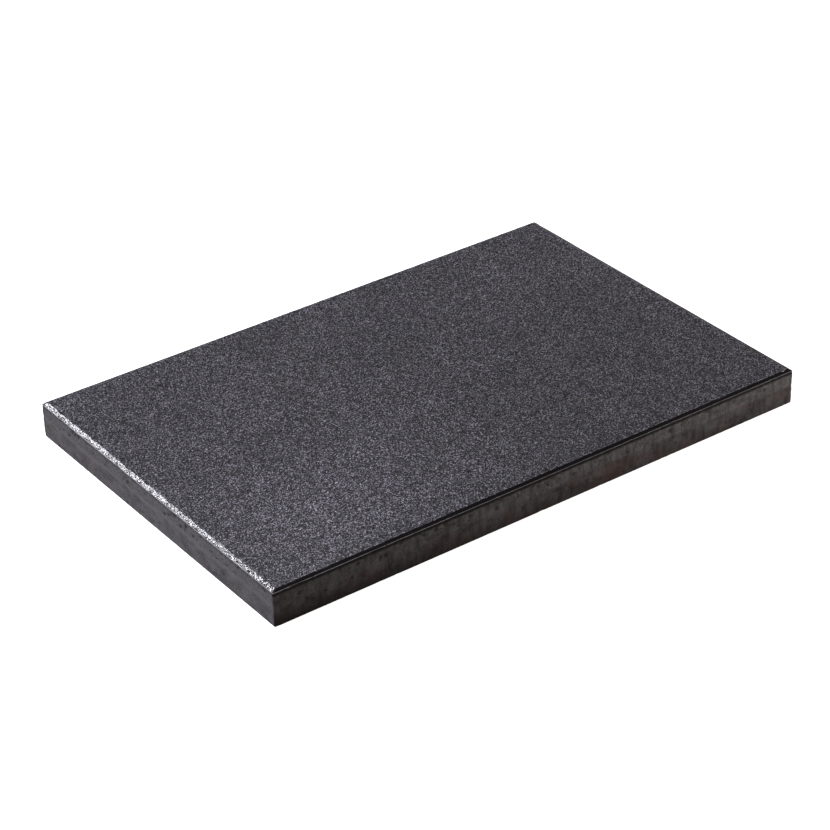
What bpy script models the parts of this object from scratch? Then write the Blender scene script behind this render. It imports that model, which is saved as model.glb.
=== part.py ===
"""A flat rectangular slab of dark basalt-grain stone, cast in two courses and lying on its bed face.

The upper course is a fine, dense facing with a bevelled rim. The lower course is the plainer backing that
carries it. The two were pressed together while damp, so they hold by a bonded plane and not by fasteners.

Frame: metres, +Z up, +X along the length, +Y along the width. The origin is the centre of the bed face.
Run with: blender --background --python part.py
"""

import bmesh
import bpy

# Driving sizes of the whole slab
LENGTH = 0.600
WIDTH = 0.400
THICKNESS = 0.038

# The two courses
BACKING_DEPTH = 0.020
BOND_GAP = 0.0003  # clearance between the two pressed faces, in place of the bonding paste

# Edges
RIM_BEVEL = 0.003  # the 45 degree bevel round the top, measured along each face
CORNER_RADIUS = 0.001  # the upright corners, as the mould leaves them
CORNER_SEGMENTS = 4

# Finishes: base colour, roughness
FACING_FINISH = ((0.050, 0.049, 0.056), 0.48)
BACKING_FINISH = ((0.062, 0.056, 0.054), 0.78)


def clear_scene():
    for obj in list(bpy.data.objects):
        bpy.data.objects.remove(obj, do_unlink=True)


def make_collection(name):
    collection = bpy.data.collections.new(name)
    bpy.context.scene.collection.children.link(collection)
    return collection


def make_stone(name, finish):
    """A plain stone material: no metal, and a colour and roughness of its own."""
    colour, roughness = finish
    material = bpy.data.materials.new(name)
    material.use_nodes = True
    shader = material.node_tree.nodes["Principled BSDF"]
    shader.inputs["Base Color"].default_value = (*colour, 1.0)
    shader.inputs["Roughness"].default_value = roughness
    shader.inputs["Metallic"].default_value = 0.0
    return material


def runs_upright(edge):
    """True for an edge that climbs, straight or along a bevel's hip, from one level to another."""
    low, high = sorted(vert.co.z for vert in edge.verts)
    return high - low > RIM_BEVEL / 2


def block(height):
    """A box of the slab's length and width and this height, centred on its own middle."""
    mesh = bmesh.new()
    bmesh.ops.create_cube(mesh, size=1.0)
    bmesh.ops.scale(mesh, vec=(LENGTH, WIDTH, height), verts=mesh.verts)
    return mesh


def bevel_rim(mesh):
    """Cuts the 45 degree bevel along the four top edges."""
    top = max(vert.co.z for vert in mesh.verts)
    rim = [e for e in mesh.edges if all(abs(v.co.z - top) < RIM_BEVEL / 10 for v in e.verts)]
    bmesh.ops.bevel(mesh, geom=rim, offset=RIM_BEVEL, offset_type="OFFSET", segments=1,
                    affect="EDGES", clamp_overlap=False)


def round_corners(mesh):
    """Rounds the upright corners, and with them the hips where two bevels meet."""
    corners = [e for e in mesh.edges if runs_upright(e)]
    bmesh.ops.bevel(mesh, geom=corners, offset=CORNER_RADIUS, offset_type="OFFSET",
                    segments=CORNER_SEGMENTS, profile=0.5, affect="EDGES", clamp_overlap=False)


def make_course(name, bottom, top, has_rim, material, collection, parent):
    """One course of the slab, from its bottom level to its top level."""
    shape = block(top - bottom)
    if has_rim:
        bevel_rim(shape)
    round_corners(shape)
    data = bpy.data.meshes.new(name)
    shape.to_mesh(data)
    shape.free()
    data.materials.append(material)
    course = bpy.data.objects.new(name, data)
    collection.objects.link(course)
    course.parent = parent
    course.location.z = (bottom + top) / 2
    return course


def main():
    clear_scene()
    slab = make_collection("basalt_slab")
    origin = bpy.data.objects.new("bed_face_centre", None)
    slab.objects.link(origin)
    facing = make_stone("facing_stone", FACING_FINISH)
    backing = make_stone("backing_stone", BACKING_FINISH)
    make_course("backing_course", 0.0, BACKING_DEPTH, False, backing, slab, origin)
    make_course("facing_course", BACKING_DEPTH + BOND_GAP, THICKNESS, True, facing, slab, origin)


main()
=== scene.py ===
# %% [markdown]
# # A basalt slab, cast in two courses
#
# The object is a flat slab of dark volcanic stone chippings, 600 mm long. It is made as such slabs are: a
# fine facing course is laid on a plainer backing course while both are damp, and a press squeezes them into
# one. The press leaves a bevel round the top, a thin lip of fines under the bevel, and on the sides a line
# where the two courses meet.
#
# A designer's model already fixes the sizes. This script loads it and puts a finely worked surface in the
# place of each of its two blocks: one mesh for the facing, one for the backing, each with a stone of its own.

# %% Load the frame and read its sizes
import math

import bmesh
import bpy
import numpy as np
from mathutils import Matrix, Vector, noise


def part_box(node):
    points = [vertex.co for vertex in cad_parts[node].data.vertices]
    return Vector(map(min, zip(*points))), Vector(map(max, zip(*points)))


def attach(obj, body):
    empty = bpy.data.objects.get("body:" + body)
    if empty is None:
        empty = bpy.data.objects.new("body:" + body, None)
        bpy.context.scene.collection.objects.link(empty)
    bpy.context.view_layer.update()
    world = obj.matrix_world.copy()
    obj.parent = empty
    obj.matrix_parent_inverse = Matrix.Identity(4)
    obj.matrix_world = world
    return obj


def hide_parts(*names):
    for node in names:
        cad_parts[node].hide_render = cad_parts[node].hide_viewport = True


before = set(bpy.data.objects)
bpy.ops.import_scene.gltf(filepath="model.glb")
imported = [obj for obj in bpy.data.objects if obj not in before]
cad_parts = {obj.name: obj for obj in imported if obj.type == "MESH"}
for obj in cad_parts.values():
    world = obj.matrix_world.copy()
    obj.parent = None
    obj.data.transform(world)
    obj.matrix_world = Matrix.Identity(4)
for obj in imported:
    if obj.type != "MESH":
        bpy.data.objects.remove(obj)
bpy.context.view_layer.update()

MM = 0.001
facing_low, facing_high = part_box("facing_course")
backing_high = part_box("backing_course")[1]
HALF_LENGTH = facing_high.x
HALF_WIDTH = facing_high.y
TOP = facing_high.z
BOND = (backing_high.z + facing_low.z) / 2
print(f"slab {2 * HALF_LENGTH:.3f} x {2 * HALF_WIDTH:.3f} x {TOP:.3f} m, courses meet at {BOND / MM:.1f} mm")

# %% [markdown]
# ## A broad face and its rim
#
# A cube subdivided evenly would spend as many faces on the hidden bond as on the broad face that people see.
# So each course starts as one fine grid, its broad face, whose open rim is then extruded row by row: over
# the bevel, down the side, and to the bond. Each row is a step on the course's profile, given as how far it
# stands in from the outline and how high it is. The last row is closed with one flat lid, which nobody sees.

# %% Rows of the profile
GRID_STEP = 1.8 * MM  # as fine as 200,000 triangles allow: about two chippings to a step
LID_ROW = 99
LID_INSET = 5 * MM


def place_ring(verts, inset, level, end_share=1.0):
    """Moves a ring of vertices onto the outline, drawn in by inset (end_share times that at the two ends)."""
    reach_x = max(abs(v.co.x) for v in verts)
    reach_y = max(abs(v.co.y) for v in verts)
    for v in verts:
        v.co.x *= (HALF_LENGTH - inset * end_share) / reach_x
        v.co.y *= (HALF_WIDTH - inset) / reach_y
        v.co.z = level


def add_row(shell, rim, row, inset, level, crisp=False, end_share=1.0):
    """Extrudes the open rim to the profile's next step. Returns the new rim."""
    for edge in rim:
        edge.smooth = not crisp
    made = bmesh.ops.extrude_edge_only(shell, edges=rim)["geom"]
    ring = [item for item in made if isinstance(item, bmesh.types.BMVert)]
    place_ring(ring, inset, level, end_share)
    number = shell.verts.layers.int["row"]
    for v in ring:
        v[number] = row
    return [item for item in made if isinstance(item, bmesh.types.BMEdge) and item.is_boundary]


# %% A whole course: the fine grid and its rows
def work_course(name, face_inset, face_level, profile, lid_level, end_share=1.0, bevel_rows=0):
    """A course as a mesh: its broad face, one row for each (inset, level, crisp) of the profile, and a lid.

    The face and the first bevel_rows rows stand in end_share times as far at the slab's two ends.
    """
    shell = bmesh.new()
    shell.verts.layers.int.new("row")
    columns = round(2 * HALF_LENGTH / GRID_STEP)
    lanes = round(2 * HALF_WIDTH / GRID_STEP)
    stretch = Matrix.Diagonal((HALF_LENGTH - face_inset * end_share, HALF_WIDTH - face_inset, 1.0, 1.0))
    bmesh.ops.create_grid(shell, x_segments=columns, y_segments=lanes, size=1.0, matrix=stretch)
    for v in shell.verts:
        v.co.z = face_level
    rim = [edge for edge in shell.edges if edge.is_boundary]
    for row, (inset, level, crisp) in enumerate(profile, start=1):
        rim = add_row(shell, rim, row, inset, level, crisp, end_share if row <= bevel_rows else 1.0)
    rim = add_row(shell, rim, LID_ROW, LID_INSET, lid_level, crisp=True)
    bmesh.ops.holes_fill(shell, edges=rim)
    bmesh.ops.recalc_face_normals(shell, faces=shell.faces)
    for side in shell.faces:
        side.smooth = True
    mesh = bpy.data.meshes.new(name)
    shell.to_mesh(mesh)
    shell.free()
    print(f"{name}: {len(mesh.vertices)} points, {len(mesh.polygons)} faces")
    return mesh


# %% [markdown]
# ## Working the surface with numbers
#
# A sculptor would tap at every point of these meshes. Here an array holds all points at once, and each effect
# moves them by a small amount: broad hollows, crunchy chippings, pits. Two kinds of chance drive it. Smooth
# noise depends on where a point is, so both courses share the same bond line. Seeded random numbers differ
# from point to point, and come out the same on every run.
#
# The functions below move points in place. Their small factors are millimetres, turned into metres by MM.

# %% Arrays and smooth noise
def read_points(mesh):
    points = np.empty(len(mesh.vertices) * 3, np.float32)
    mesh.vertices.foreach_get("co", points)
    return points.reshape(-1, 3).astype(float)


def read_rows(mesh):
    rows = np.empty(len(mesh.vertices), np.int32)
    mesh.attributes["row"].data.foreach_get("value", rows)
    return rows


def smooth_noise(points, size, offset=0.0):
    """Smooth noise between about -1 and 1, with hills as wide as size in each direction."""
    scaled = points / np.asarray(size) + offset
    return np.array([noise.noise(Vector(p)) for p in scaled.tolist()]) * 1.6


# %% The four sides and their corners
CORNER_REACH = 1.2 * MM  # this near a corner, a point belongs to both sides


def outward(points):
    """For each point near the outline, the direction out of the slab, along X, Y or, at a corner, both."""
    to_end = np.abs(points[:, 0]) - HALF_LENGTH
    to_side = np.abs(points[:, 1]) - HALF_WIDTH
    out = np.zeros_like(points)
    out[:, 0] = np.sign(points[:, 0]) * (to_end > to_side - CORNER_REACH)
    out[:, 1] = np.sign(points[:, 1]) * (to_side > to_end - CORNER_REACH)
    return out


def at_corner(points, reach):
    """1 at the upright arris of a corner, falling to 0 at this reach."""
    away = np.hypot(np.abs(points[:, 0]) - HALF_LENGTH, np.abs(points[:, 1]) - HALF_WIDTH)
    return np.clip(1 - away / reach, 0, 1)


def knocked(points, picked):
    """How far the upright arris at each corner is worn back: the same for both courses where they meet."""
    wear = 0.16 + 0.20 * smooth_noise(points, 4.5 * MM, 2.9)
    return np.where(picked, np.clip(wear, 0.02, 0.45) * at_corner(points, 3.0 * MM) * MM, 0)


# %% The wandering bond line
def bond_height(points):
    """The level at which the two courses meet: it wanders, because damp chippings were pressed together."""
    flat = points * (1, 1, 0)
    drift = 0.9 * MM * smooth_noise(flat, 160 * MM, 4.7)
    ripple = 0.45 * MM * smooth_noise(flat, 34 * MM, 9.1)
    crumble = 0.22 * MM * smooth_noise(flat, 7 * MM, 2.3)
    return BOND + drift + ripple + crumble


# %% Write the worked points back, with the masks that the stone needs
def write_points(mesh, points):
    mesh.vertices.foreach_set("co", points.astype(np.float32).ravel())
    mesh.update()


def write_mask(mesh, name, values):
    """Stores one number for each point, which a shader reads by this name."""
    layer = mesh.attributes.new(name, "FLOAT", "POINT")
    layer.data.foreach_set("value", values.astype(np.float32))


PIT_FREE = 6 * MM  # no pits this near a corner, where they would break the arris


def press_pits(points, picked, centres, radii, depths, push):
    """Pushes the picked points in wherever they are inside a round pit. Returns how deep each point went."""
    sunk = np.zeros(len(points))
    for centre, radius, depth in zip(centres, radii, depths):
        away = np.linalg.norm(points[picked] - centre, axis=1) / radius
        bowl = np.clip(1 - away ** 2, 0, 1) ** 0.5 * depth
        sunk[picked] = np.maximum(sunk[picked], bowl)
    points -= push * sunk[:, None]
    return sunk


def on_outline(rng, count, level_low, level_high):
    """Random places on the four sides between two levels, as many per metre on each side."""
    share = HALF_LENGTH / (HALF_LENGTH + HALF_WIDTH)
    long_side = rng.random(count) < share
    along = rng.uniform(-1, 1, count)
    sign = rng.choice((-1.0, 1.0), count)
    x = np.where(long_side, along, sign) * HALF_LENGTH
    y = np.where(long_side, sign, along) * HALF_WIDTH
    return np.stack([x, y, rng.uniform(level_low, level_high, count)], axis=1)


# %% [markdown]
# ## The facing course
#
# The profile goes from the broad face over a bevel to its foot. At the slab's two ends the bevel reaches half
# as far in again as on the long sides. At the foot the press squeezed out a lip of fines: a narrow ledge,
# less than a millimetre wide, that catches the light from above. Under it the damp stone was drawn away,
# which left a ragged hollow. Below the hollow the side drops straight to the bond.
#
# The lip and the hollow are small, but they draw the thin pale line and the dark line that run all round the
# slab, so they are real geometry and not only colour. A painted highlight on the lip and painted shade in the
# hollow add to them.

# %% The facing's profile
BEVEL = 3.0 * MM
END_SHARE = 1.5
FOOT = TOP - 2.9 * MM
HOLLOW_FOOT = FOOT - 4.4 * MM
SIDE_INSET = 0.05 * MM
SIDE_ROWS = 9

facing_profile = [
    (2.85 * MM, TOP - 0.50 * MM, True),
    (2.00 * MM, TOP - 1.15 * MM, False),
    (1.15 * MM, TOP - 1.80 * MM, False),
    (0.35 * MM, FOOT + 0.46 * MM, False),
    (-0.08 * MM, FOOT + 0.22 * MM, True),
    (-0.06 * MM, FOOT - 0.15 * MM, True),
    (0.60 * MM, FOOT - 0.60 * MM, True),
    (0.80 * MM, FOOT - 1.50 * MM, False),
    (0.50 * MM, FOOT - 2.60 * MM, False),
    (0.20 * MM, HOLLOW_FOOT, False),
]
LIP_ROWS = (5, 6)
HOLLOW_ROWS = (7, 8, 9)
FIRST_SIDE_ROW = len(facing_profile)
side_drop = (HOLLOW_FOOT - BOND) / SIDE_ROWS
facing_profile += [(SIDE_INSET, HOLLOW_FOOT - side_drop * n, False) for n in range(1, SIDE_ROWS + 1)]
FACING_BOND_ROW = len(facing_profile)

facing_mesh = work_course("facing_surface", BEVEL, TOP, facing_profile, facing_low.z, END_SHARE,
                          bevel_rows=LIP_ROWS[0] - 1)

# %% [markdown]
# ### The facing, zone by zone
#
# On the broad face, clumps of chippings stand at random heights, a little below where the press's plate was.
# Its rim has been rubbed down by about half a millimetre. The bevel is pressed smooth, with small bumps. The
# lip is uneven and broken away here and there. Each zone has a function of its own, and the points that it
# works are picked by their row number.

# %% Broad face and rim
CLUMP = 0.8  # from the lowest to the highest clump of chippings
BELOW_PLATE = 0.15  # how far they lie under the press's plate
OFF_GRID = 0.34  # how far a point may shift, as a share of the grid's step
RIM_DROP = (-0.60, -0.34)  # a point of the rim sinks by something between these
RIM_WEAR = (-0.25, 0.45)  # how far it is drawn in, or out where this is below 0


def crunch_face(rng, points, inner, rim, out):
    count = len(points)
    clump = rng.beta(2.0, 1.5, count) - 0.58
    swell = smooth_noise(points, 9 * MM) * 0.10 + smooth_noise(points, 55 * MM, 3.1) * 0.08
    points[:, 2] += np.where(inner, (clump * CLUMP + swell) * MM - BELOW_PLATE * MM, 0)
    points[inner, :2] += rng.uniform(-OFF_GRID, OFF_GRID, (inner.sum(), 2)) * GRID_STEP
    points[:, 2] += np.where(rim, rng.uniform(*RIM_DROP, count) * MM, 0)
    points[:, :2] -= out[:, :2] * np.where(rim, rng.uniform(*RIM_WEAR, count) * MM, 0)[:, None]


# %% Bevel and lip
BEVEL_BUMP = 0.07


def bump_bevel(rng, points, bevel, out):
    bump = rng.normal(0, BEVEL_BUMP, len(points)) * MM
    points += (out + (0, 0, 1)) * np.where(bevel, bump, 0)[:, None] * 0.7


def break_lip(rng, points, lip, out):
    """Returns how much of the lip is broken away at each point."""
    broken = np.clip(smooth_noise(points, 13 * MM, 6.0) - 0.35, 0, 1) * 0.6
    points -= out * np.where(lip, (broken + rng.uniform(0, 0.12, len(points))) * MM, 0)[:, None]
    return broken


# %% [markdown]
# Under the lip comes the hollow, which runs out before it reaches a corner, and then the rough side. Pits are
# closest together just under the lip, where air was trapped.

# %% Hollow, side and pits
RUN_OUT = 8.0 * MM
PITS_NEAR_LIP = 230
PITS_BELOW = 150
PIT_DEPTH = 0.55  # as a share of the pit's radius


def draw_hollow(points, hollow, out):
    ragged = np.clip(0.5 + smooth_noise(points, 5 * MM, 8.0), 0, 1.4) * 0.55 - 0.2
    run_out = at_corner(points, RUN_OUT)
    points -= out * np.where(hollow, (ragged * (1 - run_out) - 0.55 * run_out) * MM, 0)[:, None]


def roughen_side(rng, points, side, out):
    rough = smooth_noise(points, 3.2 * MM, 1.4) * 0.07 + rng.normal(0, 0.035, len(points))
    points -= out * np.where(side, rough * MM, 0)[:, None]


def open_pits(rng, points, skirt, out):
    """Returns how deep each point went."""
    picked = np.flatnonzero(skirt & (at_corner(points, PIT_FREE) == 0))
    near_lip = on_outline(rng, PITS_NEAR_LIP, FOOT - 4.5 * MM, FOOT - 1.0 * MM)
    below = on_outline(rng, PITS_BELOW, BOND + 2 * MM, FOOT - 4 * MM)
    centres = np.vstack([near_lip, below])
    radii = rng.uniform(0.9, 2.1, len(centres)) * MM
    return press_pits(points, picked, centres, radii, radii * PIT_DEPTH, out)


# %% Work the whole facing
SEAM = 0.03 * MM  # how far each course stops short of the bond line


def work_facing(mesh):
    rng = np.random.default_rng(41)
    points = read_points(mesh)
    rows = read_rows(mesh)
    face = rows == 0
    inner = face & (np.abs(points[:, 0]) < HALF_LENGTH - BEVEL * END_SHARE - 0.2 * GRID_STEP)
    inner &= np.abs(points[:, 1]) < HALF_WIDTH - BEVEL - 0.2 * GRID_STEP
    rim = face & ~inner
    bevel = (rows > 0) & (rows < LIP_ROWS[0])
    lip = np.isin(rows, LIP_ROWS)
    hollow = np.isin(rows, HOLLOW_ROWS)
    side = (rows >= FIRST_SIDE_ROW) & (rows < FACING_BOND_ROW)
    out = outward(points)

    crunch_face(rng, points, inner, rim, out)
    bump_bevel(rng, points, bevel, out)
    broken = break_lip(rng, points, lip, out)
    draw_hollow(points, hollow, out)
    roughen_side(rng, points, side, out)
    sunk = open_pits(rng, points, hollow | side, out)
    corner = (rows > 0) & (rows < LID_ROW)
    points -= out * knocked(points, corner)[:, None]

    bond = bond_height(points)
    points[:, 2] = np.where(rows == FACING_BOND_ROW, bond + SEAM, points[:, 2])
    write_points(mesh, points)
    write_mask(mesh, "bevel", bevel.astype(float))
    write_mask(mesh, "lip", lip.astype(float) * (1 - broken))
    write_mask(mesh, "pit", np.clip(sunk / (0.9 * MM), 0, 1))
    write_mask(mesh, "hollow", hollow.astype(float))
    write_mask(mesh, "broad", face.astype(float))
    write_mask(mesh, "rim", rim.astype(float))
    write_mask(mesh, "above_bond", (points[:, 2] - bond) / MM)
    print(f"facing worked: deepest pit {sunk.max() / MM:.2f} mm, rim {rim.sum()} points")


work_facing(facing_mesh)

# %% [markdown]
# ## The backing course
#
# The backing is the same idea upside down. Its broad face is the underside, the bed face, which lay on the
# mould's felt and is flatter but full of pores. Its side is the smoothest stone of the slab, because the fine
# cement ran down against the mould's wall, and its lowest edge is chipped where the slab was set down.

# %% The backing's profile
BED_INSET = 0.10 * MM
BACKING_ROWS = 13
BED_ARRIS = 0.20 * MM
backing_profile = [(SIDE_INSET, BED_ARRIS, True)]
backing_rise = (BOND - BED_ARRIS) / BACKING_ROWS
backing_profile += [(SIDE_INSET, BED_ARRIS + backing_rise * n, False) for n in range(1, BACKING_ROWS + 1)]
BACKING_BOND_ROW = len(backing_profile)

backing_mesh = work_course("backing_surface", BED_INSET, 0.0, backing_profile, backing_high.z)

# %% Bed face and side
VOIDS = 90
VOID_DEPTH = 0.4  # as a share of the void's radius


def open_bed(rng, points, inner):
    """A flat bearing plane with open pores."""
    pore = np.clip(rng.beta(1.3, 4.0, len(points)) - 0.15, 0, 1)
    hills = np.clip(smooth_noise(points, 12 * MM, 5.5), 0, 1) * 0.25
    points[:, 2] += np.where(inner, (pore * 0.9 + hills) * MM, 0)
    points[inner, :2] += rng.uniform(-0.3, 0.3, (inner.sum(), 2)) * GRID_STEP


def wave_side(rng, points, side, out):
    """Soft waves of the mould's wall and a few shallow voids. Returns how deep each point went."""
    soft = smooth_noise(points, (24 * MM, 24 * MM, 5 * MM), 3.3) * 0.07
    fine = smooth_noise(points, 2.6 * MM, 7.4) * 0.035
    points -= out * np.where(side, (soft + fine) * MM, 0)[:, None]
    centres = on_outline(rng, VOIDS, 2 * MM, BOND - 2 * MM)
    radii = rng.uniform(0.8, 1.9, len(centres)) * MM
    wall = np.flatnonzero(side & (at_corner(points, PIT_FREE) == 0))
    return press_pits(points, wall, centres, radii, radii * VOID_DEPTH, out)


# %% Lowest edge, and the whole backing
ON_EDGE = 0.1 * MM  # how near the outline a point of the lowest edge lies


def chip_edge(rng, points, edge, out):
    chip = np.clip(smooth_noise(points, 6 * MM, 1.9) - 0.6, 0, 1) * 0.7 + rng.uniform(0, 0.06, len(points))
    points -= out * np.where(edge, chip * MM, 0)[:, None]


def work_backing(mesh):
    rng = np.random.default_rng(57)
    points = read_points(mesh)
    rows = read_rows(mesh)
    face = rows == 0
    side = (rows >= 1) & (rows < BACKING_BOND_ROW)
    inner = face & (np.abs(points[:, 0]) < HALF_LENGTH - 2 * GRID_STEP)
    inner &= np.abs(points[:, 1]) < HALF_WIDTH - 2 * GRID_STEP
    out = outward(points)

    open_bed(rng, points, inner)
    sunk = wave_side(rng, points, side, out)
    edge_of_bed = face & ~inner & (
        (np.abs(points[:, 0]) > HALF_LENGTH - BED_INSET - ON_EDGE)
        | (np.abs(points[:, 1]) > HALF_WIDTH - BED_INSET - ON_EDGE))
    chip_edge(rng, points, (rows == 1) | edge_of_bed, out)
    corner = ((rows > 0) & (rows < LID_ROW)) | edge_of_bed
    points -= out * knocked(points, corner)[:, None]

    bond = bond_height(points)
    points[:, 2] = np.where(rows == BACKING_BOND_ROW, bond - SEAM, points[:, 2])
    write_points(mesh, points)
    write_mask(mesh, "pit", np.clip(sunk / (0.7 * MM), 0, 1))
    write_mask(mesh, "above_bond", (points[:, 2] - bond) / MM)
    print(f"backing worked: deepest void {sunk.max() / MM:.2f} mm")


work_backing(backing_mesh)


# %% [markdown]
# ## Standing in for the designer's blocks
#
# A piece has to ride on a body of the model, so that it moves when the body does. The plain block that each
# worked mesh stands for is hidden, so that it no longer shows. Each mesh gets its material with the stones
# below.

# %% Hang both meshes on the frame
def hang_piece(name, mesh, node):
    """Makes the mesh a piece that stands for a block of the designer's model and moves with it."""
    piece = bpy.data.objects.new(name, mesh)
    bpy.context.scene.collection.objects.link(piece)
    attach(piece, "root")
    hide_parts(node)


hang_piece("facing_surface", facing_mesh, "facing_course")
hang_piece("backing_surface", backing_mesh, "backing_course")

# %% [markdown]
# ## Effects that both stones share
#
# Each effect is a node group: a box with named inputs and outputs that is built once and placed in a material
# as often as needed. All of them measure in millimetres, so a size reads as it would on a ruler.

# %% A helper that builds groups
class GroupMaker:
    """Collects the nodes of one group. Inputs and outputs are made first, then nodes are added and linked."""

    def __init__(self, name, inputs, outputs):
        self.tree = bpy.data.node_groups.new(name, "ShaderNodeTree")
        for socket, kind, value in inputs:
            made = self.tree.interface.new_socket(socket, in_out="INPUT", socket_type=kind)
            if value is not None:
                made.default_value = value
        for socket, kind in outputs:
            self.tree.interface.new_socket(socket, in_out="OUTPUT", socket_type=kind)
        self.inside = self.tree.nodes.new("NodeGroupInput").outputs
        self.result = self.tree.nodes.new("NodeGroupOutput").inputs

    def node(self, kind, settings=None, **inputs):
        return add_node(self.tree, kind, settings, inputs)

    def give(self, socket, source):
        self.tree.links.new(source, self.result[socket])


def add_node(tree, kind, settings, inputs):
    """Adds a node, sets its properties, and fills its inputs with values or with links from other sockets."""
    made = tree.nodes.new(kind)
    for key, value in (settings or {}).items():
        setattr(made, key, value)
    for key, value in inputs.items():
        index = int(key[3:]) if key.startswith("in_") else key.replace("_", " ")
        if isinstance(value, bpy.types.NodeSocket):
            tree.links.new(value, made.inputs[index])
        else:
            made.inputs[index].default_value = value
    return made


FLOAT, VECTOR = "NodeSocketFloat", "NodeSocketVector"


def ramp(maker, value, low, high, to_low=0.0, to_high=1.0):
    """A straight ramp: low gives to_low, high gives to_high, and it stays level outside."""
    return maker.node("ShaderNodeMapRange", None, Value=value, From_Min=low, From_Max=high,
                      To_Min=to_low, To_Max=to_high).outputs["Result"]


def math_node(maker, operation, first, second):
    return maker.node("ShaderNodeMath", {"operation": operation}, in_0=first, in_1=second).outputs[0]


# %% [markdown]
# ### Chippings
#
# Pressed stone is a crowd of grains. A Voronoi texture splits space into cells round random centres, so each
# cell is one chipping: its random colour gives a lightness, its distance from the centre a rounded height.
# Ordinary noise would give clouds instead of grains, with no edges between them.
#
# Crushed stone also has flat broken faces that lean every way, which is why it glitters. White noise, asked
# once for each cell's centre, gives a random direction. The surface's own normal leans that way, all over the
# cell, by the Lean input.

# %% Chippings group
grains = GroupMaker("chippings",
                    [("Millimetres", VECTOR, None), ("Size", FLOAT, 1.0), ("Lean", FLOAT, 0.0)],
                    [("Lightness", FLOAT), ("Height", FLOAT), ("Glint", FLOAT), ("Normal", VECTOR)])
per_size = math_node(grains, "DIVIDE", 1.0, grains.inside["Size"])
cells = grains.node("ShaderNodeTexVoronoi", {"voronoi_dimensions": "3D", "feature": "F1"},
                    Vector=grains.inside["Millimetres"], Scale=per_size)
chance = grains.node("ShaderNodeSeparateColor", None, Color=cells.outputs["Color"])
dome = ramp(grains, cells.outputs["Distance"], 0.0, 0.75, 1.0, 0.0)
grains.give("Lightness", chance.outputs["Red"])
tallness = ramp(grains, chance.outputs["Green"], 0, 1, 0.25, 1)
grains.give("Height", math_node(grains, "MULTIPLY", dome, tallness))
grains.give("Glint", ramp(grains, chance.outputs["Blue"], 0.80, 0.90))

# %% The lean of each chipping
any_way = grains.node("ShaderNodeTexWhiteNoise", {"noise_dimensions": "3D"},
                      Vector=cells.outputs["Position"]).outputs["Color"]
both_ways = grains.node("ShaderNodeVectorMath", {"operation": "SUBTRACT"}, in_0=any_way, in_1=(0.5, 0.5, 0.5))
leaning = grains.node("ShaderNodeVectorMath", {"operation": "SCALE"}, in_0=both_ways.outputs[0],
                      Scale=grains.inside["Lean"])
own_normal = grains.node("ShaderNodeNewGeometry").outputs["Normal"]
leant = grains.node("ShaderNodeVectorMath", {"operation": "ADD"}, in_0=own_normal, in_1=leaning.outputs[0])
even = grains.node("ShaderNodeVectorMath", {"operation": "NORMALIZE"}, in_0=leant.outputs[0])
grains.give("Normal", even.outputs[0])

# %% [markdown]
# ### Clouds
#
# Damp mixes never dry evenly, which leaves soft patches a hand wide. A noise texture gives them, with smaller
# and weaker patches inside by its Detail input. The Stretch input draws the patches out into streaks along an
# axis where it is below 1, and squashes them where it is above 1.

# %% Clouds group
clouds = GroupMaker("clouds",
                    [("Millimetres", VECTOR, None), ("Size", FLOAT, 60.0), ("Detail", FLOAT, 3.0),
                     ("Stretch", VECTOR, (1.0, 1.0, 1.0))],
                    [("Mask", FLOAT)])
stretched = clouds.node("ShaderNodeVectorMath", {"operation": "MULTIPLY"},
                        in_0=clouds.inside["Millimetres"], in_1=clouds.inside["Stretch"])
cloud_scale = math_node(clouds, "DIVIDE", 1.0, clouds.inside["Size"])
puff = clouds.node("ShaderNodeTexNoise", {"noise_dimensions": "3D"}, Vector=stretched.outputs[0],
                   Scale=cloud_scale, Detail=clouds.inside["Detail"], Roughness=0.55)
clouds.give("Mask", ramp(clouds, puff.outputs["Fac"], 0.32, 0.68))

# %% [markdown]
# ### Pinholes
#
# Air caught in the mix leaves small round holes. They are Voronoi cells too, but only the middle of a cell
# counts, and only in as many cells as the Share input asks for. A random number decides how wide each hole
# is.

# %% Pinholes group
holes = GroupMaker("pinholes",
                   [("Millimetres", VECTOR, None), ("Spacing", FLOAT, 6.0), ("Share", FLOAT, 0.5)],
                   [("Mask", FLOAT)])
hole_scale = math_node(holes, "DIVIDE", 1.0, holes.inside["Spacing"])
wobble = holes.node("ShaderNodeTexNoise", {"noise_dimensions": "3D"}, Vector=holes.inside["Millimetres"],
                    Scale=0.9, Detail=1.0)
ragged = holes.node("ShaderNodeVectorMath", {"operation": "ADD"}, in_0=holes.inside["Millimetres"],
                    in_1=wobble.outputs["Color"])
hole_cells = holes.node("ShaderNodeTexVoronoi", {"voronoi_dimensions": "3D", "feature": "F1"},
                        Vector=ragged.outputs[0], Scale=hole_scale)
hole_chance = holes.node("ShaderNodeSeparateColor", None, Color=hole_cells.outputs["Color"])
least = math_node(holes, "SUBTRACT", 1.0, holes.inside["Share"])
hole_width = holes.node("ShaderNodeMapRange", None, Value=hole_chance.outputs["Red"], From_Min=least,
                        From_Max=1.0, To_Min=0.0, To_Max=0.26).outputs["Result"]
inside_hole = math_node(holes, "SUBTRACT", hole_width, hole_cells.outputs["Distance"])
holes.give("Mask", ramp(holes, inside_hole, -0.02, 0.05))

# %% [markdown]
# ### The bond smear
#
# Where the courses meet, cement paste was squeezed out and wiped along the mould, and it dried paler than the
# chippings. The meshes already know how far each point is above the wandering bond line, so the group only
# has to fade that distance out and break it up.

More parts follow.
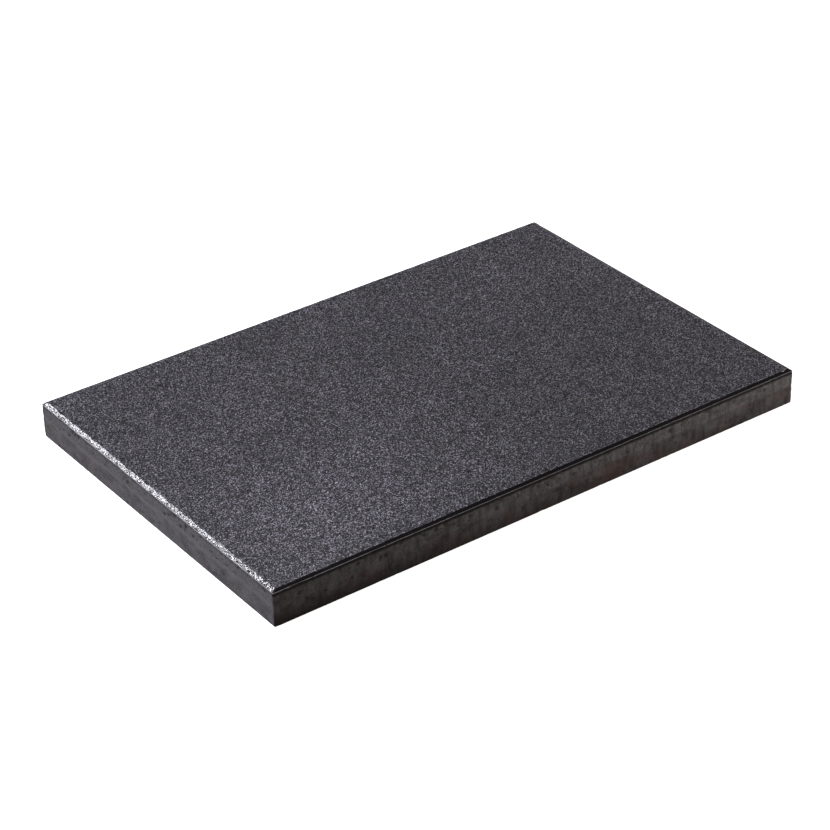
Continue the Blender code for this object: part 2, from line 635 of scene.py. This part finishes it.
# %% Bond smear group
smear = GroupMaker("bond_smear",
                   [("Above Bond", FLOAT, 0.0), ("Millimetres", VECTOR, None), ("Reach", FLOAT, 2.0)],
                   [("Mask", FLOAT)])
drag = smear.node("ShaderNodeTexNoise", {"noise_dimensions": "3D"}, Vector=smear.inside["Millimetres"],
                  Scale=0.09, Detail=3.0)
shift = ramp(smear, drag.outputs["Fac"], 0.3, 0.7, -1.2, 1.2)
nearness = math_node(smear, "ABSOLUTE", math_node(smear, "ADD", smear.inside["Above Bond"], shift), 0.0)
fade = math_node(smear, "DIVIDE", nearness, smear.inside["Reach"])
smear.give("Mask", math_node(smear, "MULTIPLY", ramp(smear, fade, 0.0, 1.0, 1.0, 0.0),
                             ramp(smear, drag.outputs["Fac"], 0.35, 0.6, 0.35, 1.0)))

# %% [markdown]
# ### Stain and painted shade
#
# The long sides get upright streaks and blotches of stain, and the short ones hardly any. So this group first
# finds the long sides by their distance from the slab's middle, and then lays the streaks and blotches on
# them.
# It also tells how far to the left a point is, for painted shade: the long sides are painted darker towards
# the left end, where less light falls on them.

# %% Stain and shade group
weather = GroupMaker("weather",
                     [("Millimetres", VECTOR, None), ("Half Width", FLOAT, 200.0),
                      ("Half Length", FLOAT, 300.0)],
                     [("Long Side", FLOAT), ("Left", FLOAT), ("Stain", FLOAT)])
parts = weather.node("ShaderNodeSeparateXYZ", None, Vector=weather.inside["Millimetres"])
across = math_node(weather, "ABSOLUTE", parts.outputs["Y"], 0.0)
to_face = math_node(weather, "SUBTRACT", across, weather.inside["Half Width"])
long_side = ramp(weather, to_face, -3.0, -1.0)
weather.give("Long Side", long_side)
# How far to the left a point is: it sets the painted shade that darkens the long sides towards the left end.
from_left = math_node(weather, "ADD", parts.outputs["X"], weather.inside["Half Length"])
weather.give("Left", ramp(weather, from_left, 0.0, 340.0, 1.0, 0.0))
runs = weather.node("ShaderNodeGroup", {"node_tree": clouds.tree}, Millimetres=weather.inside["Millimetres"],
                    Size=8.0, Detail=5.0, Stretch=(1.0, 1.0, 0.3)).outputs["Mask"]
spots = weather.node("ShaderNodeGroup", {"node_tree": clouds.tree}, Millimetres=weather.inside["Millimetres"],
                     Size=11.0, Detail=5.0).outputs["Mask"]
either = math_node(weather, "MAXIMUM", ramp(weather, runs, 0.35, 0.9), ramp(weather, spots, 0.5, 0.95))
weather.give("Stain", math_node(weather, "MULTIPLY", either, ramp(weather, long_side, 0, 1, 0.15, 1.0)))
print("shared effects:", [group.name for group in bpy.data.node_groups])


# %% [markdown]
# ## The two stones
#
# Each is one Principled BSDF fed by the shared effects. Everything starts from the point's own place on the
# slab, turned into millimetres, so the pattern runs through from face to face as it does in cut stone.

# %% A helper that starts a stone
class StoneMaker:
    """A new material with one Principled shader, and the same ways to add nodes as a group has."""

    def __init__(self, name):
        self.material = bpy.data.materials.new(name)
        self.material.use_nodes = True
        self.tree = self.material.node_tree
        self.shader = self.tree.nodes["Principled BSDF"]
        place = self.node("ShaderNodeTexCoord").outputs["Object"]
        self.millimetres = self.node("ShaderNodeVectorMath", {"operation": "SCALE"}, in_0=place,
                                     Scale=1 / MM).outputs[0]

    def node(self, kind, settings=None, **inputs):
        return add_node(self.tree, kind, settings, inputs)

    def mask(self, name):
        """The numbers that the mesh stores for its points under this name."""
        return self.node("ShaderNodeAttribute", {"attribute_name": name}).outputs["Fac"]

    def effect(self, maker, **inputs):
        """Places a shared effect, fed with this stone's millimetres, and returns its outputs."""
        made = self.node("ShaderNodeGroup", {"node_tree": maker.tree}, Millimetres=self.millimetres, **inputs)
        return made.outputs

    def blend(self, share, first, second, kind="MIX"):
        """Colour mixing: share of the second over the first."""
        mix = self.node("ShaderNodeMix", {"data_type": "RGBA", "blend_type": kind}, in_0=share, in_6=first,
                        in_7=second)
        return mix.outputs[2]

    def feed(self, socket, source):
        self.tree.links.new(source, self.shader.inputs[socket])

    def relief(self, *layers, normal=None):
        """Chains bumps, each a (height, depth in metres, strength), on a normal, and feeds the shader."""
        for height, depth, strength in layers:
            bump = self.node("ShaderNodeBump", None, Height=height, Distance=depth, Strength=strength)
            if normal is not None:
                self.tree.links.new(normal, bump.inputs["Normal"])
            normal = bump.outputs["Normal"]
        self.feed("Normal", normal)


# %% [markdown]
# Both stones have paste at the bond and the same stain and painted shade, so two functions lay these on for
# either.

# %% Paste at the bond, on both stones
STAIN = (0.34, 0.30, 0.28, 1)
PASTE = (0.14, 0.138, 0.15, 1)
SHORT_SIDE_PASTE = 0.85
LONG_SIDE_PASTE = 0.12


def with_paste(stone, colour, stain_and_shade_masks, reach):
    """Lays the pale smear of the bond over a colour. Most of it was wiped off the long sides."""
    paste = stone.effect(smear, Above_Bond=stone.mask("above_bond"), Reach=reach)["Mask"]
    kept = ramp(stone, stain_and_shade_masks["Long Side"], 0, 1, SHORT_SIDE_PASTE, LONG_SIDE_PASTE)
    return stone.blend(math_node(stone, "MULTIPLY", paste, kept), colour, PASTE)


def slab_weather(stone):
    return stone.effect(weather, Half_Width=HALF_WIDTH / MM, Half_Length=HALF_LENGTH / MM)


# %% [markdown]
# ### Facing stone
#
# From afar crushed basalt is violet-grey, but close up most chippings are nearly black and a few are pale. A
# high power of each chipping's random lightness gives that share. Here and there a broken crystal face
# glints, because it is smoother. The sides lay against the mould under a film of fines, so their grains are
# closer in colour, and stains darken them. Painted shade darkens the long sides towards the left end.

# %% Colours of the broad face and the side
BLACK_CHIP = (0.006, 0.0058, 0.0072, 1)
PALE_CHIP = (0.66, 0.63, 0.72, 1)
DARK_PATCH = (0.60, 0.60, 0.62, 1)
DARK_SIDE = (0.052, 0.051, 0.054, 1)
PALE_SIDE = (0.142, 0.140, 0.147, 1)
PAINTED_SHADE_SIDE = (0.016, 0.014, 0.013, 1)


def face_colour(stone, grain):
    patch = stone.effect(clouds, Size=70.0, Detail=3.0)["Mask"]
    pale = math_node(stone, "POWER", grain["Lightness"], 6.0)
    colour = stone.blend(pale, BLACK_CHIP, PALE_CHIP)
    return stone.blend(ramp(stone, patch, 0, 1, 0.0, 0.6), colour, DARK_PATCH, "MULTIPLY")


def side_colour(stone, grain, stain_and_shade_masks):
    colour = stone.blend(grain["Lightness"], DARK_SIDE, PALE_SIDE)
    # Painted shade: the long sides darker towards the left end, where less light falls on them.
    painted_shade = math_node(stone, "MULTIPLY", stain_and_shade_masks["Long Side"], ramp(stone, stain_and_shade_masks["Left"], 0, 1, 0, 0.45))
    colour = stone.blend(painted_shade, colour, PAINTED_SHADE_SIDE)
    return stone.blend(stain_and_shade_masks["Stain"], colour, STAIN, "MULTIPLY")


# %% [markdown]
# The press smoothed the grains on the bevel and brought a glossy dark skin of fines to the surface. The lip
# under it is painted pale, a painted highlight where its ledge catches the light from above, fainter towards
# the right end, and crumbs are missing from it. The hollow under the lip is painted dark all along the long
# sides, as painted shade. On the short sides this painted shade is lighter, apart from the crumbs.

# %% Lip and hollow
BEVEL_SKIN = (0.014, 0.0136, 0.016, 1)
LIP_HIGHLIGHT = (0.42, 0.41, 0.42, 1)
DEEP_SHADE = (0.004, 0.004, 0.004, 1)


def with_lip_highlight(stone, colour, crumb, stain_and_shade_masks):
    # The lip's pale colour is a painted highlight where its ledge catches the light from above. It is fainter
    # towards the right end, which the low light from the right already lights.
    pale = math_node(stone, "MULTIPLY", stone.mask("lip"), ramp(stone, crumb, 0, 1, 0.85, 0.2))
    pale = math_node(stone, "MULTIPLY", pale, ramp(stone, stain_and_shade_masks["Left"], 0, 1, 0.45, 1.0))
    return stone.blend(pale, colour, LIP_HIGHLIGHT)


def hollow_shade(stone, crumb, stain_and_shade_masks):
    # Painted shade in the hollow under the lip: full on the long sides, and on the short sides mostly where
    # crumbs are missing.
    least = ramp(stone, stain_and_shade_masks["Long Side"], 0, 1, 0.20, 1.0)
    shade = math_node(stone, "MULTIPLY", stone.mask("hollow"), ramp(stone, crumb, 0, 1, least, 1.0))
    return ramp(stone, shade, 0, 0.8)


# %% [markdown]
# The stone is then put together from the broad face to the smallest detail. Roughness follows the same zones:
# chippings are matt apart from the few that glint, the rubbed rim of the broad face is smoother, and the
# bevel is the smoothest.

# %% Facing stone
MATT_CHIP = 0.72
GLINTING_CHIP = 0.28
RUBBED_RIM = 0.32
ROUGH_SIDE = 0.75
ROUGH_HOLLOW = 1.0
PRESSED_BEVEL = 0.24


def facing_stone():
    stone = StoneMaker("facing_stone")
    bevel = stone.mask("bevel")
    broad = stone.mask("broad")
    grain = stone.effect(grains, Size=0.85, Lean=ramp(stone, broad, 0, 1, 0.22, 1.3))
    crumb = stone.effect(holes, Spacing=3.0, Share=0.95)["Mask"]
    stain_and_shade_masks = slab_weather(stone)

    colour = stone.blend(broad, side_colour(stone, grain, stain_and_shade_masks), face_colour(stone, grain))
    colour = with_paste(stone, colour, stain_and_shade_masks, reach=4.0)
    colour = stone.blend(bevel, colour, BEVEL_SKIN)
    colour = with_lip_highlight(stone, colour, crumb, stain_and_shade_masks)
    hole = stone.effect(holes, Spacing=5.0, Share=0.45)["Mask"]
    side_only = math_node(stone, "SUBTRACT", 1.0, math_node(stone, "MAXIMUM", broad, bevel))
    # Pits, pinholes on the side and the hollow under the lip are painted nearly black: painted shade in the
    # recesses.
    dark = math_node(stone, "MAXIMUM", stone.mask("pit"), math_node(stone, "MULTIPLY", hole, side_only))
    shade = hollow_shade(stone, crumb, stain_and_shade_masks)
    dark = math_node(stone, "MAXIMUM", dark, shade)
    stone.feed("Base Color", stone.blend(ramp(stone, dark, 0, 1, 0, 0.97), colour, DEEP_SHADE))

    on_face = ramp(stone, grain["Glint"], 0, 1, MATT_CHIP, GLINTING_CHIP)
    on_face = ramp(stone, stone.mask("rim"), 0, 1, on_face, RUBBED_RIM)
    on_side = ramp(stone, shade, 0, 1, ROUGH_SIDE, ROUGH_HOLLOW)
    rough = ramp(stone, broad, 0, 1, on_side, on_face)
    stone.feed("Roughness", ramp(stone, bevel, 0, 1, rough, PRESSED_BEVEL))
    dust = stone.effect(grains, Size=0.6)
    stone.relief((dust["Height"], 0.4 * MM, ramp(stone, bevel, 0, 1, 0.6, 0.05)), normal=grain["Normal"])
    return stone.material


# %% [markdown]
# ### Backing stone
#
# The backing is mixed with rustier sand. Its side is close and matt, with pale blotches of cement and brown
# ones of iron. On the long sides it is painted darker towards the bed face and the left end, as painted
# shade, and more iron shows there.

# %% Colours of the backing
DARK_SAND = (0.064, 0.062, 0.066, 1)
PALE_SAND = (0.138, 0.136, 0.141, 1)
CEMENT_BLOTCH = (0.145, 0.142, 0.150, 1)
BARE_BLOTCH = (0.055, 0.052, 0.054, 1)
IRON = (0.11, 0.055, 0.040, 1)
PAINTED_SHADE_LOW = (0.010, 0.008, 0.007, 1)
HOLE_SHADE = (0.014, 0.013, 0.013, 1)


def sand_colour(stone, grain, blotch):
    colour = stone.blend(grain["Lightness"], DARK_SAND, PALE_SAND)
    colour = stone.blend(ramp(stone, blotch, 0.45, 1, 0, 0.6), colour, CEMENT_BLOTCH)
    return stone.blend(ramp(stone, blotch, 0.5, 0, 0, 0.5), colour, BARE_BLOTCH)


def with_stains_and_low_shade(stone, colour, stain_and_shade_masks):
    """Stains, iron and painted shade, which grow from just above the bond down to the bed face; the painted
    shade is also darker towards the left end.
    """
    rust = stone.effect(clouds, Size=38.0, Detail=3.0, Stretch=(1.0, 1.0, 1.6))["Mask"]
    low = ramp(stone, stone.mask("above_bond"), 4.0, -19.0)
    low_on_long_side = math_node(stone, "MULTIPLY", low, stain_and_shade_masks["Long Side"])
    # Painted shade: the long sides darker towards the bed face and the left end, where less light falls on
    # them.
    painted_shade = math_node(stone, "MULTIPLY", low_on_long_side, ramp(stone, stain_and_shade_masks["Left"], 0, 1, 0.60, 1.0))
    iron = math_node(stone, "MULTIPLY", ramp(stone, rust, 0.3, 1), ramp(stone, low_on_long_side, 0, 1, 0.12, 0.6))
    colour = stone.blend(stain_and_shade_masks["Stain"], colour, STAIN, "MULTIPLY")
    colour = stone.blend(iron, colour, IRON)
    return stone.blend(painted_shade, colour, PAINTED_SHADE_LOW)


# %% Backing stone
BACKING_SPECULAR = 0.25


def backing_stone():
    stone = StoneMaker("backing_stone")
    grain = stone.effect(grains, Size=0.9)
    blotch = stone.effect(clouds, Size=16.0, Detail=4.0, Stretch=(1.0, 1.0, 2.0))["Mask"]
    hole = stone.effect(holes, Spacing=7.0, Share=0.35)["Mask"]
    stain_and_shade_masks = slab_weather(stone)

    colour = with_stains_and_low_shade(stone, sand_colour(stone, grain, blotch), stain_and_shade_masks)
    colour = with_paste(stone, colour, stain_and_shade_masks, reach=3.2)
    # Pits, voids and pinholes are painted dark with HOLE_SHADE: painted shade in the recesses.
    dark = math_node(stone, "MAXIMUM", stone.mask("pit"), ramp(stone, hole, 0, 1, 0, 0.8))
    stone.feed("Base Color", stone.blend(ramp(stone, dark, 0, 1, 0, 0.85), colour, HOLE_SHADE))
    stone.feed("Roughness", ramp(stone, blotch, 0, 1, 0.85, 0.66))
    stone.shader.inputs["Specular IOR Level"].default_value = BACKING_SPECULAR
    stone.relief((grain["Height"], 0.2 * MM, 0.4), (hole, 0.5 * MM, ramp(stone, hole, 0, 1, 0.0, 0.8)))
    return stone.material


facing_mesh.materials.append(facing_stone())
backing_mesh.materials.append(backing_stone())
print("stones:", [material.name for material in bpy.data.materials])

# %% [markdown]
# ## Camera, floor and light
#
# The slab is seen from its left front corner, with a long lens that keeps its sides nearly parallel. A camera
# is easiest to set by where it looks, from which side, from how high and from how far.

# %% The camera
AZIMUTH = math.radians(-35.20)
ELEVATION = math.radians(31.37)
ROLL = math.radians(1.78)
DISTANCE = 2.604
TARGET = Vector((0.0008, 0.0081, 0.0))
LENS = 116.66
SENSOR = 36.0

back = Vector((math.sin(AZIMUTH) * math.cos(ELEVATION), -math.cos(AZIMUTH) * math.cos(ELEVATION),
               math.sin(ELEVATION)))
camera_data = bpy.data.cameras.new("camera")
camera_data.lens = LENS
camera_data.sensor_width = SENSOR
camera = bpy.data.objects.new("camera", camera_data)
stand = Matrix.Translation(TARGET + back * DISTANCE)
turn = back.to_track_quat("Z", "Y").to_matrix().to_4x4()
camera.matrix_world = stand @ turn @ Matrix.Rotation(-ROLL, 4, "Z")
bpy.context.scene.collection.objects.link(camera)
bpy.context.scene.camera = camera
print("camera stands at", [round(value, 2) for value in camera.matrix_world.translation])

# %% [markdown]
# Dark stone needs light that it can mirror. The strip stands behind the slab, where the far end of the left
# bevel mirrors it best, and it also skims the grain of the broad face. A low softbox at the left lights the
# left side. A small one over the near left corner lifts that corner, and one behind at the right fills the
# far end. The front stays in shade, apart from a low warm light that comes in from the right and fades
# towards the left.

# %% The lights
def softbox(name, place, aim, width, height, power, tint):
    data = bpy.data.lights.new(name, "AREA")
    data.shape = "RECTANGLE"
    data.size, data.size_y = width, height
    data.energy = power
    data.color = tint
    light = bpy.data.objects.new(name, data)
    light.location = place
    light.rotation_euler = (Vector(aim) - Vector(place)).to_track_quat("-Z", "Y").to_euler()
    light.visible_camera = False
    bpy.context.scene.collection.objects.link(light)
    print(f"{name}: {power} W from {place}")


COOL = (0.93, 0.92, 1.0)
WARM = (1.0, 0.91, 0.86)
softbox("strip", (-0.55, 1.76, 1.46), (-0.3, 0.05, 0.03), 0.40, 0.46, 32, COOL)
softbox("left_low", (-1.5, 0.1, 0.5), (-0.3, -0.1, 0), 0.5, 0.4, 13, COOL)
softbox("near_left", (-0.22, -0.13, 0.19), (-0.22, -0.13, 0), 0.25, 0.08, 0.12, COOL)
softbox("back_right", (1.58, 1.40, 0.70), (0.2, 0, 0.03), 0.6, 0.5, 5.5, COOL)
softbox("right_low", (1.3, -1.0, 0.16), (0.3, -0.2, 0.02), 0.5, 0.2, 18, WARM)

# %% [markdown]
# The floor is white to the eye, and so is everything round it. The stone must not see that much white, or its
# dark sides would turn grey. A Light Path node tells the camera's own rays from all others, so the floor and
# the air can be bright for the one and dim for the rest.

# %% The floor
FLOOR_SIZE = 16.0
FLOOR_DROP = 0.2 * MM  # keeps it clear of the bed face
PAPER = (0.85, 0.85, 0.85, 1)
WHITE = (1, 1, 1, 1)
DIM_FLOOR = (0.45, 0.425, 0.40, 1)
floor_data = bpy.data.meshes.new("floor")
floor_shape = bmesh.new()
bmesh.ops.create_grid(floor_shape, x_segments=1, y_segments=1, size=FLOOR_SIZE / 2)
floor_shape.to_mesh(floor_data)
floor_shape.free()
floor = bpy.data.objects.new("floor", floor_data)
floor.location.z = -FLOOR_DROP
bpy.context.scene.collection.objects.link(floor)


def pale_floor():
    """White to the eye, but dim to the stone, so that its reflection does not veil the dark sides."""
    material = bpy.data.materials.new("pale_floor")
    material.use_nodes = True
    tree = material.node_tree
    tree.nodes.clear()
    seen = add_node(tree, "ShaderNodeLightPath", None, {}).outputs["Is Camera Ray"]
    paper = add_node(tree, "ShaderNodeBsdfDiffuse", None, {"Color": PAPER}).outputs[0]
    glow = add_node(tree, "ShaderNodeEmission", None, {"Color": WHITE, "Strength": 1.0}).outputs[0]
    bright = add_node(tree, "ShaderNodeAddShader", None, {"in_0": paper, "in_1": glow}).outputs[0]
    dim = add_node(tree, "ShaderNodeBsdfDiffuse", None, {"Color": DIM_FLOOR}).outputs[0]
    choice = {"in_0": seen, "in_1": dim, "in_2": bright}
    either = add_node(tree, "ShaderNodeMixShader", None, choice).outputs[0]
    result = add_node(tree, "ShaderNodeOutputMaterial", None, {})
    tree.links.new(either, result.inputs["Surface"])
    return material


floor_data.materials.append(pale_floor())
print("floor:", FLOOR_SIZE, "m wide")

# %% The air round it
AIR_SEEN = 1.0
AIR_FELT = 0.02

world = bpy.data.worlds.new("studio")
bpy.context.scene.world = world
world.use_nodes = True
sky = world.node_tree
background = sky.nodes["Background"]
seen = add_node(sky, "ShaderNodeLightPath", None, {}).outputs["Is Camera Ray"]
shares = {"Value": seen, "To Min": AIR_FELT, "To Max": AIR_SEEN}
strength = add_node(sky, "ShaderNodeMapRange", None, shares)
background.inputs["Color"].default_value = WHITE
sky.links.new(strength.outputs["Result"], background.inputs["Strength"])
bpy.context.scene.view_settings.view_transform = "Standard"
